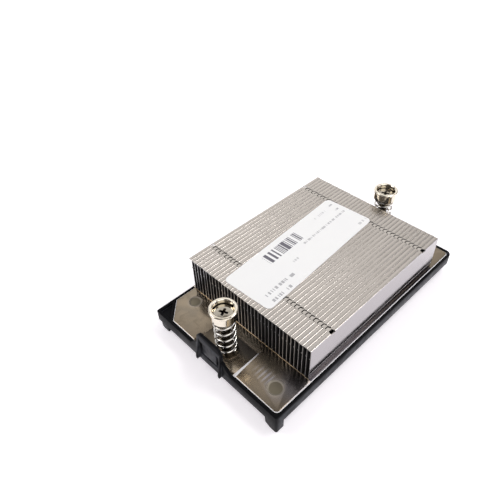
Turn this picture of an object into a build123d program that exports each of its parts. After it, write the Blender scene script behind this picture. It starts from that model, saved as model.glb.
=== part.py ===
from build123d import *
import math
import os

# Passive processor heatsink for a low server: a zipped stack of folded fins soldered to a
# nickel-plated spreader plate, carried in a moulded frame and held down by two captive spring screws.
# The origin is the centre of the face that touches the processor. X runs across the fins,
# Y along them with the latch tab at the -Y end, and Z up. All lengths are in millimetres.

# Spreader plate
PLATE_WIDTH = 72.4
PLATE_LENGTH = 123.6
PLATE_THICKNESS = 3.0
PLATE_CORNER_RADIUS = 2.0
PLATE_CORNER_CUT = 8.8
PLATE_EDGE_CUT = 0.4
POCKET_WIDTH = 24.0
POCKET_LENGTH = 14.6
POCKET_END_DEPTH = 0.4
POCKET_WALL_ANGLE = 68.0
MARK_DEPTH = 0.2
MARK_SLOPE_WIDTH = 0.55
RIGHT_MARK_INSET = (8.2, 7.9)
RIGHT_MARK_RADIUS = 2.8
LEFT_MARK_INSET = (7.3, 14.3)
LEFT_MARK_RADIUS = 2.3

# Pedestal under the plate
BLOCK_WIDTH = 46.0
BLOCK_LENGTH = 48.0
BLOCK_HEIGHT = 3.3
BLOCK_CORNER_RADIUS = 3.0
BLOCK_EDGE_CUT = 0.5

# Fin stack
FIN_COUNT = 36
FIN_PITCH = 2.0
FIN_SHEET = 0.3
FIN_HEIGHT = 18.3
FIN_SEAM = 0.05
FIN_RIGHT_MARGIN = 1.4
FIN_FRONT_GAP = 6.3
FIN_REAR_GAP = 1.9
LOCK_FRONT_INSET = 12.8
LOCK_REAR_INSET = 12.1
LOCK_NOTCH_WIDTH = 3.0
LOCK_NOTCH_REACH = 1.6
LOCK_NOTCH_TIP_WIDTH = 1.2
LOCK_TONGUE_REACH = 1.0
LOCK_TONGUE_WIDTH = 1.7
LOCK_TONGUE_TIP_WIDTH = 0.9
LOCK_TONGUE_SHIFT = -0.15

# Moulded frame
FRAME_SIDE_RIM = 1.05
FRAME_END_RIM = 1.35
PLATE_CLEARANCE = 0.2
RIM_BELOW_PLATE_TOP = 0.1
FRAME_HEIGHT = 5.7
FRAME_FRONT_CORNER_RADIUS = 0.8
FRAME_BACK_CORNER_RADIUS = 3.0
LEDGE_THICKNESS = 1.6
LEDGE_WIDTH = 4.0
SKIRT_WALL = 1.5
CORNER_FLOOR_DROP = 1.2
CORNER_RIM = 1.4
CORNER_RIDGE = 1.3
BOSS_RADIUS = 7.6
BOSS_HOLE_RADIUS = 5.2
STIFFENER_COUNT = 5
STIFFENER_SPACING = 22.0
STIFFENER_WIDTH = 1.2
FOOT_DROP = 4.6
NEAR_FOOT_WIDTH = 6.3
NEAR_FOOT_DEPTH = 4.3
LEFT_FOOT_WIDTH = 5.2
LEFT_FOOT_INSET = 1.4
LEFT_FOOT_SETBACK = 0.6
FOOT_SIDE_SLOPE = 0.3
FOOT_TOE_RISE = 1.4
FOOT_TOE_RUN = 2.4
REAR_FOOT_INSET = 7.0

# Latch tab on the near wall of the frame
TAB_CENTRE = -0.4
TAB_TOP_WIDTH = 11.4
TAB_SHOULDER_WIDTH = 15.0
TAB_FOOT_WIDTH = 25.0
TAB_HEIGHT = 11.4
TAB_SHOULDER_HEIGHT = 9.2
TAB_RAMP_HEIGHT = 4.9
TAB_TOP_CORNER_RADIUS = 1.2
TONGUE_WIDTH = 8.6
TONGUE_SLOT = 1.3
TONGUE_SLOT_TOP = 6.3
TONGUE_SLOT_BOTTOM = -1.5
TAB_RIB_WIDTH = 1.1
TAB_RIB_REACH = 1.75
TAB_RIB_TOP = 8.8
TAB_RIB_BOTTOM = -4.6

# Captive spring screws
SCREW_END_DISTANCE = 7.5
CUP_TOP_ABOVE_PLATE = 24.6
CUP_RIM_RADIUS = 5.8
CUP_WALL_RADIUS = 5.4
CUP_HEIGHT = 5.2
CUP_RIM_HEIGHT = 1.1
CUP_BORE_RADIUS = 4.45
CUP_FLOOR = 1.2
CUP_SLEEVE_RADIUS = 3.35
CUP_SLEEVE_LENGTH = 3.0
CUP_EDGE_ROUND = 0.35
SCREW_HEAD_RADIUS = 4.1
SCREW_HEAD_THICKNESS = 1.85
SHANK_RADIUS = 2.25
SHANK_RUNNING_CLEARANCE = 0.05
PLATE_HOLE_CLEARANCE = 0.1
SCREW_TIP = -3.1
SCREW_TIP_CHAMFER = 0.6
THREAD_RADIUS = 2.0
THREAD_RELIEF_RADIUS = 1.75
THREAD_LENGTH = 5.0
CROSS_SPAN = 3.8
CROSS_ARM_WIDTH = 1.1
CROSS_DEPTH = 1.0
CROSS_TURN = 26.0
RING_RADIUS = 4.0
RING_THICKNESS = 0.6
RING_GROOVE_RADIUS = 1.7
RING_SIDE_CLEARANCE = 0.05
RING_OPENING = 2.6
RING_PLATE_GAP = 0.1

# Compression springs
SPRING_RADIUS = 4.2
WIRE_RADIUS = 0.5
WIRE_SIDES = 5
SPRING_ACTIVE_TURNS = 4.5
SPRING_CLOSED_TURNS = 0.75
SPRING_CLOSED_PITCH = 1.1
SPRING_SEAT_DROP = 0.05

# Paper label
LABEL_WIDTH = 25.8
LABEL_LENGTH = 75.4
LABEL_THICKNESS = 0.12
LABEL_CORNER_RADIUS = 2.4
LABEL_OFFSET = (-4.2, -4.1)
LABEL_TILT = 3.6

# Levels and places worked out from the sizes above
PLATE_UNDERSIDE = BLOCK_HEIGHT
PLATE_TOP = PLATE_UNDERSIDE + PLATE_THICKNESS
SCREW_SPACING = PLATE_LENGTH - 2 * SCREW_END_DISTANCE
RIGHT_MARK = (PLATE_WIDTH / 2 - RIGHT_MARK_INSET[0], -PLATE_LENGTH / 2 + RIGHT_MARK_INSET[1])
LEFT_MARK = (-PLATE_WIDTH / 2 + LEFT_MARK_INSET[0], -PLATE_LENGTH / 2 + LEFT_MARK_INSET[1])
FIN_TOP = PLATE_TOP + FIN_HEIGHT
FIN_STACK_RIGHT = PLATE_WIDTH / 2 - FIN_RIGHT_MARGIN
FIN_STACK_FRONT = -SCREW_SPACING / 2 + CUP_RIM_RADIUS + FIN_FRONT_GAP
FIN_STACK_BACK = SCREW_SPACING / 2 - CUP_RIM_RADIUS - FIN_REAR_GAP
FIN_LENGTH = FIN_STACK_BACK - FIN_STACK_FRONT
LOCK_ROWS = (FIN_STACK_FRONT + LOCK_FRONT_INSET, FIN_STACK_BACK - LOCK_REAR_INSET)
RIM_TOP = PLATE_TOP - RIM_BELOW_PLATE_TOP
WALL_BOTTOM = RIM_TOP - FRAME_HEIGHT
FLOOR = WALL_BOTTOM - FOOT_DROP
LEDGE_UNDERSIDE = PLATE_UNDERSIDE - LEDGE_THICKNESS
RECESS_WIDTH = PLATE_WIDTH + 2 * PLATE_CLEARANCE
RECESS_LENGTH = PLATE_LENGTH + 2 * PLATE_CLEARANCE
FRAME_WIDTH = RECESS_WIDTH + 2 * FRAME_SIDE_RIM
FRAME_LENGTH = RECESS_LENGTH + 2 * FRAME_END_RIM
FRAME_FRONT = -FRAME_LENGTH / 2
SCREW_PLACES = {"front": -SCREW_SPACING / 2, "rear": SCREW_SPACING / 2}
CUP_TOP = PLATE_TOP + CUP_TOP_ABOVE_PLATE
CUP_UNDERSIDE = CUP_TOP - CUP_HEIGHT
SCREW_SEAT = CUP_UNDERSIDE + CUP_FLOOR
SCREW_TOP = SCREW_SEAT + SCREW_HEAD_THICKNESS
RING_TOP = PLATE_UNDERSIDE - RING_PLATE_GAP
SPRING_BASE = PLATE_TOP - SPRING_SEAT_DROP
LABEL_CENTRE = (
    FIN_STACK_RIGHT - FIN_COUNT * FIN_PITCH / 2 + LABEL_OFFSET[0],
    (FIN_STACK_FRONT + FIN_STACK_BACK) / 2 + LABEL_OFFSET[1],
)

os.makedirs("parts", exist_ok=True)


def save(builder, name):
    """Label a finished piece and write it under its own name."""
    builder.part.label = name
    export_step(builder.part, f"parts/{name}.step")


def plate_outline(width, length, corner_cut, corner_radius):
    """Rectangle with rounded corners and its near left corner cut off, as a sketch to add."""
    half_width = width / 2
    half_length = length / 2
    with BuildSketch() as outline:
        with BuildLine():
            Polyline(
                (-half_width + corner_cut, -half_length),
                (half_width, -half_length),
                (half_width, half_length),
                (-half_width, half_length),
                (-half_width, -half_length + corner_cut),
                close=True,
            )
        make_face()
        square_corners = outline.vertices().sort_by_distance((-half_width, -half_length))[2:]
        fillet(square_corners, corner_radius)
    return outline.sketch


def make_base_plate():
    """Spreader plate with screw holes, a sloping pocket at each screw and two pressed marks."""
    outline = plate_outline(PLATE_WIDTH, PLATE_LENGTH, PLATE_CORNER_CUT, PLATE_CORNER_RADIUS)
    with BuildPart() as base_plate:
        with BuildSketch(Plane.XY.offset(PLATE_UNDERSIDE)):
            add(outline)
        extrude(amount=PLATE_THICKNESS)
        chamfer(base_plate.faces().sort_by(Axis.Z)[-1].edges(), PLATE_EDGE_CUT)
        slope = math.atan(POCKET_END_DEPTH / POCKET_LENGTH)
        for end in (-1, 1):
            start = Vector(0, end * (PLATE_LENGTH / 2 - POCKET_LENGTH), PLATE_TOP)
            tilted = Plane(start, x_dir=(1, 0, 0), z_dir=(0, end * math.sin(slope), math.cos(slope)))
            with BuildSketch(tilted):
                with Locations((0, end * POCKET_LENGTH)):
                    Rectangle(POCKET_WIDTH, 2 * POCKET_LENGTH)
            extrude(amount=POCKET_END_DEPTH + PLATE_EDGE_CUT, taper=-POCKET_WALL_ANGLE, mode=Mode.SUBTRACT)
        for place, radius in ((RIGHT_MARK, RIGHT_MARK_RADIUS), (LEFT_MARK, LEFT_MARK_RADIUS)):
            with Locations((place[0], place[1], PLATE_TOP)):
                Cone(
                    radius,
                    radius + MARK_SLOPE_WIDTH,
                    MARK_DEPTH,
                    align=(Align.CENTER, Align.CENTER, Align.MAX),
                    mode=Mode.SUBTRACT,
                )
        with Locations(*[(0, y, PLATE_TOP) for y in SCREW_PLACES.values()]):
            Hole(SHANK_RADIUS + PLATE_HOLE_CLEARANCE, depth=PLATE_THICKNESS)
    save(base_plate, "base_plate")


def make_contact_block():
    """Pedestal whose lower face touches the processor."""
    with BuildPart() as contact_block:
        with BuildSketch():
            RectangleRounded(BLOCK_WIDTH, BLOCK_LENGTH, BLOCK_CORNER_RADIUS)
        extrude(amount=BLOCK_HEIGHT)
        chamfer(contact_block.faces().sort_by(Axis.Z)[0].edges(), BLOCK_EDGE_CUT)
    save(contact_block, "contact_block")


def make_fin(number):
    """One folded fin: a web with a flange at the top and bottom that reaches the next web."""
    right = FIN_STACK_RIGHT - (number - 1) * FIN_PITCH
    left = right - FIN_PITCH + FIN_SEAM
    inside = right - FIN_SHEET
    last = number == FIN_COUNT
    with BuildPart() as fin:
        with BuildSketch(Plane.XZ.offset(-FIN_STACK_BACK)):
            with BuildLine():
                Polyline(
                    (left, FIN_TOP),
                    (right, FIN_TOP),
                    (right, PLATE_TOP),
                    (left, PLATE_TOP),
                    (left, PLATE_TOP + FIN_SHEET),
                    (inside, PLATE_TOP + FIN_SHEET),
                    (inside, FIN_TOP - FIN_SHEET),
                    (left, FIN_TOP - FIN_SHEET),
                    close=True,
                )
            make_face()
        extrude(amount=FIN_LENGTH)
        for y in LOCK_ROWS:
            with BuildSketch(Plane.XY.offset(FIN_TOP - FIN_SHEET)):
                with BuildLine():
                    Polyline(
                        (right, y - LOCK_NOTCH_WIDTH / 2),
                        (right, y + LOCK_NOTCH_WIDTH / 2),
                        (right - LOCK_NOTCH_REACH, y + LOCK_NOTCH_TIP_WIDTH / 2),
                        (right - LOCK_NOTCH_REACH, y - LOCK_NOTCH_TIP_WIDTH / 2),
                        close=True,
                    )
                make_face()
            extrude(amount=FIN_SHEET, mode=Mode.SUBTRACT)
            if not last:
                tongue = y + LOCK_TONGUE_SHIFT
                with BuildSketch(Plane.XY.offset(FIN_TOP - FIN_SHEET)):
                    with BuildLine():
                        Polyline(
                            (left, tongue - LOCK_TONGUE_WIDTH / 2),
                            (left, tongue + LOCK_TONGUE_WIDTH / 2),
                            (left - LOCK_TONGUE_REACH, tongue + LOCK_TONGUE_TIP_WIDTH / 2),
                            (left - LOCK_TONGUE_REACH, tongue - LOCK_TONGUE_TIP_WIDTH / 2),
                            close=True,
                        )
                    make_face()
                extrude(amount=FIN_SHEET)
    save(fin, f"fin_{number:02d}")


def make_retention_frame():
    """Moulded frame: rim round the plate, ledge under it, skirt, screw bosses, feet and latch tab."""
    inner_width = FRAME_WIDTH - 2 * SKIRT_WALL
    inner_length = FRAME_LENGTH - 2 * SKIRT_WALL
    window_width = RECESS_WIDTH - 2 * LEDGE_WIDTH
    window_length = RECESS_LENGTH - 2 * LEDGE_WIDTH
    recess_cut = PLATE_CORNER_CUT + PLATE_CLEARANCE * (2 - math.sqrt(2))
    recess_radius = PLATE_CORNER_RADIUS + PLATE_CLEARANCE
    recess = plate_outline(RECESS_WIDTH, RECESS_LENGTH, recess_cut, recess_radius)
    with BuildPart() as retention_frame:
        with BuildSketch(Plane.XY.offset(WALL_BOTTOM)) as outer:
            Rectangle(FRAME_WIDTH, FRAME_LENGTH)
            back = outer.vertices().group_by(Axis.Y)[-1]
            fillet(back, FRAME_BACK_CORNER_RADIUS)
            front = outer.vertices().group_by(Axis.Y)[0]
            fillet(front, FRAME_FRONT_CORNER_RADIUS)
        extrude(amount=FRAME_HEIGHT)
        with BuildSketch(Plane.XY.offset(PLATE_UNDERSIDE)):
            add(recess)
        extrude(amount=PLATE_THICKNESS, mode=Mode.SUBTRACT)
        with BuildSketch(Plane.XY.offset(WALL_BOTTOM)):
            Rectangle(window_width, window_length)
        extrude(amount=FRAME_HEIGHT, mode=Mode.SUBTRACT)
        with BuildSketch(Plane.XY.offset(WALL_BOTTOM)):
            RectangleRounded(inner_width, inner_length, FRAME_FRONT_CORNER_RADIUS)
        extrude(amount=LEDGE_UNDERSIDE - WALL_BOTTOM, mode=Mode.SUBTRACT)

        # Sunk triangular floor where the plate's corner is cut off
        with BuildSketch(Plane.XY.offset(RIM_TOP - CORNER_FLOOR_DROP)):
            with BuildLine():
                inset = -FRAME_WIDTH / 2 + CORNER_RIM
                near = FRAME_FRONT + CORNER_RIM
                ridge_line = recess_cut - RECESS_WIDTH / 2 - RECESS_LENGTH / 2 - math.sqrt(2) * CORNER_RIDGE
                reach = ridge_line - inset - near
                Polyline((inset, near), (inset + reach, near), (inset, near + reach), close=True)
            make_face()
        extrude(amount=CORNER_FLOOR_DROP, mode=Mode.SUBTRACT)

        # Bosses round the screws and stiffeners between ledge and skirt
        for end, y in SCREW_PLACES.items():
            outwards = math.copysign(1, y)
            with BuildSketch(Plane.XY.offset(LEDGE_UNDERSIDE)):
                with Locations((0, y)):
                    Circle(BOSS_RADIUS)
                with Locations((0, y + outwards * BOSS_RADIUS / 2)):
                    Rectangle(2 * BOSS_RADIUS, BOSS_RADIUS)
                with Locations((0, y)):
                    Circle(BOSS_HOLE_RADIUS, mode=Mode.SUBTRACT)
            extrude(amount=LEDGE_THICKNESS)
            with BuildSketch(Plane.XY.offset(LEDGE_UNDERSIDE)):
                with Locations((0, y)):
                    Circle(BOSS_HOLE_RADIUS)
            extrude(amount=LEDGE_THICKNESS, mode=Mode.SUBTRACT)
        stiffener_run = (inner_width - window_width) / 2
        for side in (-1, 1):
            with BuildSketch(Plane.XY.offset(WALL_BOTTOM)):
                with Locations((side * (inner_width - stiffener_run) / 2, 0)):
                    with GridLocations(0, STIFFENER_SPACING, 1, STIFFENER_COUNT):
                        Rectangle(stiffener_run, STIFFENER_WIDTH)
            extrude(amount=LEDGE_UNDERSIDE - WALL_BOTTOM)

        # Near right foot, flush with both walls and rounded at the corner as they are
        corner = FRAME_WIDTH / 2
        foot_start = corner - NEAR_FOOT_WIDTH
        with BuildSketch(Plane.XZ.offset(-FRAME_FRONT - NEAR_FOOT_DEPTH)):
            with BuildLine():
                Polyline(
                    (foot_start, LEDGE_UNDERSIDE),
                    (foot_start, WALL_BOTTOM),
                    (foot_start + FOOT_SIDE_SLOPE, FLOOR + FOOT_TOE_RISE),
                    (foot_start + FOOT_SIDE_SLOPE + FOOT_TOE_RUN, FLOOR),
                    (corner, FLOOR),
                    (corner, LEDGE_UNDERSIDE),
                    close=True,
                )
            make_face()
        extrude(amount=NEAR_FOOT_DEPTH)
        with BuildSketch(Plane.XY.offset(FLOOR)):
            with Locations((corner, FRAME_FRONT)):
                Rectangle(FRAME_FRONT_CORNER_RADIUS, FRAME_FRONT_CORNER_RADIUS, align=(Align.MAX, Align.MIN))
            with Locations((corner - FRAME_FRONT_CORNER_RADIUS, FRAME_FRONT + FRAME_FRONT_CORNER_RADIUS)):
                Circle(FRAME_FRONT_CORNER_RADIUS, mode=Mode.SUBTRACT)
        extrude(amount=FOOT_DROP + FRAME_HEIGHT, mode=Mode.SUBTRACT)

        # Near left foot, a little inside both walls
        left_start = -FRAME_WIDTH / 2 + LEFT_FOOT_INSET
        left_end = left_start + LEFT_FOOT_WIDTH
        front_gap = LEFT_FOOT_SETBACK
        with BuildSketch(Plane.XZ.offset(-FRAME_FRONT - front_gap - NEAR_FOOT_DEPTH)):
            with BuildLine():
                Polyline(
                    (left_start, LEDGE_UNDERSIDE),
                    (left_start, WALL_BOTTOM),
                    (left_start + FOOT_SIDE_SLOPE, FLOOR + FOOT_TOE_RISE / 2),
                    (left_start + 2 * FOOT_SIDE_SLOPE + FOOT_TOE_RISE / 2, FLOOR),
                    (left_end - FOOT_SIDE_SLOPE, FLOOR),
                    (left_end, WALL_BOTTOM),
                    (left_end, LEDGE_UNDERSIDE),
                    close=True,
                )
            make_face()
        extrude(amount=NEAR_FOOT_DEPTH)

        # Rear feet, inside the skirt where the walls hide them
        for side in (-1, 1):
            with BuildSketch(Plane.XY.offset(LEDGE_UNDERSIDE)):
                with Locations((side * (FRAME_WIDTH / 2 - REAR_FOOT_INSET), FRAME_LENGTH / 2 - REAR_FOOT_INSET)):
                    Rectangle(NEAR_FOOT_WIDTH, NEAR_FOOT_WIDTH)
            extrude(amount=FLOOR - LEDGE_UNDERSIDE)

        # Latch tab: an upright arch with ramps to the rim and a tongue left hanging inside a slot
        with BuildSketch(Plane.XZ.offset(-FRAME_FRONT - FRAME_END_RIM)) as arch:
            with BuildLine():
                Polyline(
                    (TAB_CENTRE - TAB_FOOT_WIDTH / 2, RIM_TOP),
                    (TAB_CENTRE - TAB_SHOULDER_WIDTH / 2, RIM_TOP + TAB_RAMP_HEIGHT),
                    (TAB_CENTRE - TAB_SHOULDER_WIDTH / 2, RIM_TOP + TAB_SHOULDER_HEIGHT),
                    (TAB_CENTRE - TAB_TOP_WIDTH / 2, RIM_TOP + TAB_HEIGHT),
                    (TAB_CENTRE + TAB_TOP_WIDTH / 2, RIM_TOP + TAB_HEIGHT),
                    (TAB_CENTRE + TAB_SHOULDER_WIDTH / 2, RIM_TOP + TAB_SHOULDER_HEIGHT),
                    (TAB_CENTRE + TAB_SHOULDER_WIDTH / 2, RIM_TOP + TAB_RAMP_HEIGHT),
                    (TAB_CENTRE + TAB_FOOT_WIDTH / 2, RIM_TOP),
                    (TAB_CENTRE + TAB_FOOT_WIDTH / 2, PLATE_UNDERSIDE),
                    (TAB_CENTRE - TAB_FOOT_WIDTH / 2, PLATE_UNDERSIDE),
                    close=True,
                )
            make_face()
            fillet(arch.vertices().group_by(Axis.Z)[-1], TAB_TOP_CORNER_RADIUS)
        extrude(amount=FRAME_END_RIM)
        slot_outer = TONGUE_WIDTH + 2 * TONGUE_SLOT
        slot_height = TONGUE_SLOT_TOP - TONGUE_SLOT_BOTTOM
        with BuildSketch(Plane.XZ.offset(-FRAME_FRONT - SKIRT_WALL)):
            with Locations((TAB_CENTRE, RIM_TOP + TONGUE_SLOT_BOTTOM)):
                Rectangle(slot_outer, slot_height, align=(Align.CENTER, Align.MIN))
            with Locations((TAB_CENTRE, RIM_TOP + TONGUE_SLOT_BOTTOM + TONGUE_SLOT)):
                Rectangle(TONGUE_WIDTH, slot_height, align=(Align.CENTER, Align.MIN), mode=Mode.SUBTRACT)
        extrude(amount=SKIRT_WALL, mode=Mode.SUBTRACT)

        # Ribs that run down the outside of the arch and end just above the foot of the wall
        for side in (-1, 1):
            rib_centre = TAB_CENTRE + side * (TAB_SHOULDER_WIDTH - TAB_RIB_WIDTH) / 2
            with BuildSketch(Plane.YZ.offset(rib_centre - TAB_RIB_WIDTH / 2)):
                with BuildLine():
                    Polyline(
                        (FRAME_FRONT + FRAME_END_RIM / 2, RIM_TOP + TAB_RIB_TOP),
                        (FRAME_FRONT, RIM_TOP + TAB_RIB_TOP),
                        (FRAME_FRONT - TAB_RIB_REACH, RIM_TOP + TAB_RIB_BOTTOM + TAB_RIB_REACH),
                        (FRAME_FRONT - TAB_RIB_REACH, RIM_TOP + TAB_RIB_BOTTOM),
                        (FRAME_FRONT + FRAME_END_RIM / 2, RIM_TOP + TAB_RIB_BOTTOM),
                        close=True,
                    )
                make_face()
            extrude(amount=TAB_RIB_WIDTH)
    save(retention_frame, "retention_frame")


def make_spring_cup(end):
    """Turned cup that holds the screw's head and presses on the spring."""
    with BuildPart() as spring_cup:
        with BuildSketch(Plane.XZ.offset(-SCREW_PLACES[end])):
            with BuildLine():
                Polyline(
                    (SHANK_RADIUS + SHANK_RUNNING_CLEARANCE, SCREW_SEAT),
                    (CUP_BORE_RADIUS, SCREW_SEAT),
                    (CUP_BORE_RADIUS, CUP_TOP - CUP_EDGE_ROUND),
                    (CUP_BORE_RADIUS + CUP_EDGE_ROUND, CUP_TOP),
                    (CUP_RIM_RADIUS - CUP_EDGE_ROUND, CUP_TOP),
                    (CUP_RIM_RADIUS, CUP_TOP - CUP_EDGE_ROUND),
                    (CUP_RIM_RADIUS, CUP_TOP - CUP_RIM_HEIGHT),
                    (CUP_WALL_RADIUS, CUP_TOP - CUP_RIM_HEIGHT - CUP_EDGE_ROUND),
                    (CUP_WALL_RADIUS, CUP_UNDERSIDE),
                    (CUP_SLEEVE_RADIUS, CUP_UNDERSIDE),
                    (CUP_SLEEVE_RADIUS, CUP_UNDERSIDE - CUP_SLEEVE_LENGTH),
                    (SHANK_RADIUS + SHANK_RUNNING_CLEARANCE, CUP_UNDERSIDE - CUP_SLEEVE_LENGTH),
                    close=True,
                )
            make_face()
        revolve(axis=Axis((0, SCREW_PLACES[end], 0), (0, 0, 1)))
    save(spring_cup, f"spring_cup_{end}")


def make_captive_screw(end):
    """Flat-headed screw with a cross recess, a ring groove under the plate and a threaded end."""
    groove_low = RING_TOP - RING_THICKNESS - RING_SIDE_CLEARANCE
    groove_high = RING_TOP + RING_SIDE_CLEARANCE
    thread_top = SCREW_TIP + THREAD_LENGTH
    with BuildPart() as captive_screw:
        with BuildSketch(Plane.XZ.offset(-SCREW_PLACES[end])):
            with BuildLine():
                Polyline(
                    (0, SCREW_TOP),
                    (SCREW_HEAD_RADIUS, SCREW_TOP),
                    (SCREW_HEAD_RADIUS, SCREW_SEAT),
                    (SHANK_RADIUS, SCREW_SEAT),
                    (SHANK_RADIUS, groove_high),
                    (RING_GROOVE_RADIUS, groove_high),
                    (RING_GROOVE_RADIUS, groove_low),
                    (THREAD_RELIEF_RADIUS, groove_low),
                    (THREAD_RELIEF_RADIUS, thread_top),
                    (THREAD_RADIUS, thread_top),
                    (THREAD_RADIUS, SCREW_TIP + SCREW_TIP_CHAMFER),
                    (THREAD_RADIUS - SCREW_TIP_CHAMFER, SCREW_TIP),
                    (0, SCREW_TIP),
                    close=True,
                )
            make_face()
        revolve(axis=Axis((0, SCREW_PLACES[end], 0), (0, 0, 1)))
        with BuildSketch(Plane.XY.offset(SCREW_TOP - CROSS_DEPTH)):
            with Locations((0, SCREW_PLACES[end])):
                Rectangle(CROSS_SPAN, CROSS_ARM_WIDTH, rotation=CROSS_TURN)
                Rectangle(CROSS_ARM_WIDTH, CROSS_SPAN, rotation=CROSS_TURN)
        extrude(amount=CROSS_DEPTH, mode=Mode.SUBTRACT)
    save(captive_screw, f"captive_screw_{end}")


def make_retaining_ring(end):
    """Open ring snapped into the screw's groove below the plate."""
    with BuildPart() as retaining_ring:
        with BuildSketch(Plane.XY.offset(RING_TOP - RING_THICKNESS)):
            with Locations((0, SCREW_PLACES[end])):
                Circle(RING_RADIUS)
                Circle(RING_GROOVE_RADIUS + RING_SIDE_CLEARANCE, mode=Mode.SUBTRACT)
            with Locations((RING_RADIUS / 2, SCREW_PLACES[end])):
                Rectangle(RING_RADIUS, RING_OPENING, mode=Mode.SUBTRACT)
        extrude(amount=RING_THICKNESS)
    save(retaining_ring, f"retaining_ring_{end}")


def make_spring(end):
    """Compression spring between the plate and the cup, its turns closed at both ends.

    The wire's section has five sides, which keeps its many turns light.
    """
    y = SCREW_PLACES[end]
    axis = Axis((0, y, 0), (0, 0, 1))
    low = SPRING_BASE + WIRE_RADIUS
    high = CUP_UNDERSIDE - WIRE_RADIUS
    closed_height = SPRING_CLOSED_TURNS * SPRING_CLOSED_PITCH
    active_pitch = (high - low - 2 * closed_height) / SPRING_ACTIVE_TURNS
    stretches = (
        (SPRING_CLOSED_TURNS, SPRING_CLOSED_PITCH),
        (SPRING_ACTIVE_TURNS, active_pitch),
        (SPRING_CLOSED_TURNS, SPRING_CLOSED_PITCH),
    )
    with BuildPart() as spring:
        with BuildLine() as coil:
            level = low
            turned = 0.0
            for turns, pitch in stretches:
                stretch = Helix(pitch, pitch * turns, SPRING_RADIUS, center=(0, y, level), mode=Mode.PRIVATE)
                add(stretch.rotate(axis, 360 * turned))
                level += pitch * turns
                turned += turns
        wire = coil.wires()[0]
        with BuildSketch(Plane(wire @ 0, z_dir=wire % 0)):
            RegularPolygon(WIRE_RADIUS, WIRE_SIDES)
        sweep(path=wire, is_frenet=True, transition=Transition.TRANSFORMED)
    save(spring, f"spring_{end}")


def make_paper_label():
    """Thin label lying slightly askew across the fin tops."""
    askew = Plane((LABEL_CENTRE[0], LABEL_CENTRE[1], FIN_TOP)).rotated((0, 0, LABEL_TILT))
    with BuildPart() as paper_label:
        with BuildSketch(askew):
            RectangleRounded(LABEL_WIDTH, LABEL_LENGTH, LABEL_CORNER_RADIUS)
        extrude(amount=LABEL_THICKNESS)
    save(paper_label, "paper_label")


make_base_plate()
make_contact_block()
make_retention_frame()
for fin_number in range(1, FIN_COUNT + 1):
    make_fin(fin_number)
for screw_end in SCREW_PLACES:
    make_spring_cup(screw_end)
    make_captive_screw(screw_end)
    make_retaining_ring(screw_end)
    make_spring(screw_end)
make_paper_label()
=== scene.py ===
import math

import bmesh
import bpy
from mathutils import Matrix, Vector


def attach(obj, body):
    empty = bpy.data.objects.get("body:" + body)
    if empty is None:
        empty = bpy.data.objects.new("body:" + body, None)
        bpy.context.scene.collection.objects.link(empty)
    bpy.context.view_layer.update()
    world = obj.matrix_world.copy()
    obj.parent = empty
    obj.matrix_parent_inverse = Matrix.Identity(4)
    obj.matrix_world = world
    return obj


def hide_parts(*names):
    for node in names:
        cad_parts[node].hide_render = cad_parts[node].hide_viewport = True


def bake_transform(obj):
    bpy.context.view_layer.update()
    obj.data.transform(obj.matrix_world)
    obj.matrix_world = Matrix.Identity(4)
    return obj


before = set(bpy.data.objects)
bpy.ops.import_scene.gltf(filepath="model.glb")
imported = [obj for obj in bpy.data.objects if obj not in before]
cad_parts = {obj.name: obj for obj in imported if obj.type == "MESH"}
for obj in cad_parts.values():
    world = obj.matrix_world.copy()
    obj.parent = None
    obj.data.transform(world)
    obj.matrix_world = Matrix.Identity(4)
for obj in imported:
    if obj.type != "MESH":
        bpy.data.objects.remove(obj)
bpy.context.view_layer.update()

MM = 0.001
MICRON = 0.000001

# Camera solved from the photograph: angles in degrees, place in metres
CAMERA_AZIMUTH = 47.326
CAMERA_ELEVATION = 42.518
CAMERA_ROLL = -2.018
CAMERA_PLACE = (0.09889, -0.13025, 0.17473)
CAMERA_LENS = 35.2185
CAMERA_SENSOR = 36.0

# Levels of the part in millimetres, repeated from its source
PLATE_TOP = 6.3
FIN_TOP = 24.6
FLOOR = -4.1
CUP_TOP = 30.9
CUP_UNDERSIDE = 25.7
SCREW_SEAT = 26.9
SCREW_TOP = 28.75
SCREW_TIP = -3.1
SCREW_Y = {"front": -54.3, "rear": 54.3}

# Pockets of the plate: distance from the middle, half width, and how far a wall runs per length
POCKET_START = 47.2
POCKET_HALF_WIDTH = 12.0
POCKET_WALL_RUN = 0.068

# Pressed marks of the plate: centre and radius
PLATE_MARKS = (((28.0, -53.9), 2.8), ((-28.9, -47.5), 2.3))

# Painted bluish reflection on the plate, and painted streaks of the fins' reflection over a flat oval
SHADE_CENTRE = (33.0, -48.5)
FIN_REFLECTION_CENTRE = (21.0, -52.6875)
FIN_REFLECTION_FLATNESS = 1.6

# Fin stack; a lock is a notch with the next fin's tongue in it, LOCK_PLACES say how far along a fin
# the two locks are, and LOCK_STARTS at which of its stations each begins
FIN_COUNT = 36
FIN_PITCH = 2.0
FIN_SHEET = 0.3
FIN_BEND = 0.34
FIN_RIGHT = 34.8
FIN_FRONT = -42.2
FIN_LENGTH = 88.8
FIN_HEIGHT = 18.3
FLANGE_REACH = 1.94
LOCK_PLACES = (12.8, 76.7)
LOCK_STARTS = (3, 14)
LOCK_DEPTH = 0.6
LOCK_TIP = 1.6
LOCK_HALF_WIDTH = 1.36
LOCK_TIP_HALF_WIDTH = 0.95
TONGUE_HALF_WIDTH = 1.16
TONGUE_TIP_HALF_WIDTH = 0.66
TONGUE_REACH = 1.25
TONGUE_DROP = 0.09
TONGUE_SHIFT = -0.18
CATCH_HEIGHT = 13.4

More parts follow.
